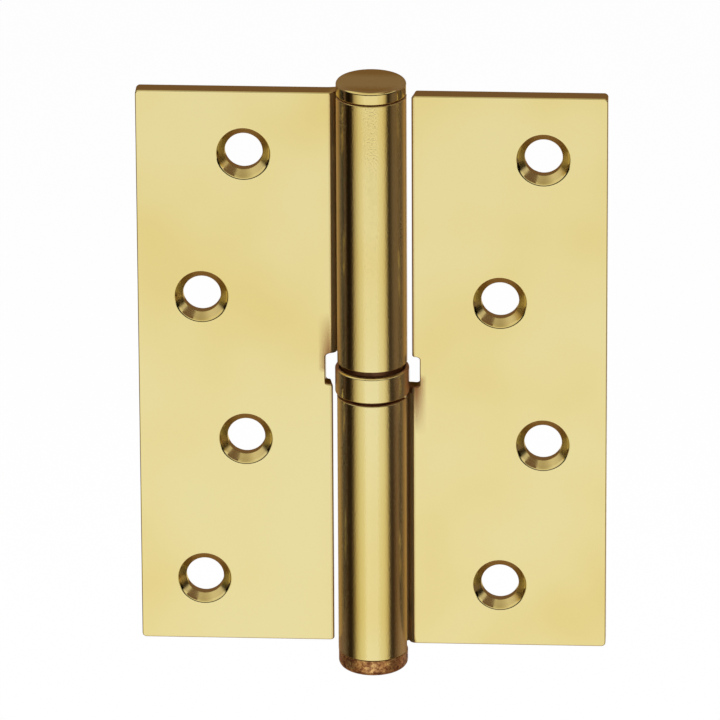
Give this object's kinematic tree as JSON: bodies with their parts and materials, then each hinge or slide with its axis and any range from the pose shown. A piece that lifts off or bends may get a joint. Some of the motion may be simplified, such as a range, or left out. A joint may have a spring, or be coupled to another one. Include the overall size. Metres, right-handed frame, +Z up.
{
  "type": "lift-off butt hinge",
  "caption": "Flat butt hinge with two countersunk leaves on a capped barrel; the door leaf turns on a thrust bearing and lifts off the fixed pin.",
  "frame": {"origin": "on the barrel axis, midway between the ends of the two caps, with the hinge lying open flat", "axes": "+Z up along the barrel axis towards the top cap; +X from the barrel across the frame leaf; +Y away from the countersunk screw faces, behind the leaves"},
  "size_m": [0.0794, 0.0126, 0.1066],
  "materials": {
    "leaf_brass": "bright plated sheet, finely brushed along its height",
    "cap_brass": "bright plated, turned",
    "cap_copper": "thin reddish plating with a mottled, scuffed face",
    "ring_brass": "bright plated ring, lightly scuffed",
    "pin_steel": "ground, lightly oiled",
    "bearing_steel": "hardened and polished"
  },
  "bodies": {
    "frame": {"frame_leaf": "leaf_brass", "hinge_pin": "pin_steel", "bottom_cap": "cap_copper", "bearing_ring": "ring_brass", "lower_race": "bearing_steel", "bearing_balls": "bearing_steel"},
    "race": {"upper_race": "bearing_steel"},
    "door": {"door_leaf": "leaf_brass", "top_cap": "cap_brass"}
  },
  "joints": [
    {"name": "swing", "type": "hinge", "parent": "frame", "child": "race", "pos_m": [0, 0, 0], "axis": [0, 0, 1], "range_deg": [-120, 180]},
    {"name": "lift_off", "type": "slide", "parent": "race", "child": "door", "axis": [0, 0, 1], "range_m": [0, 0.04]}
  ]
}
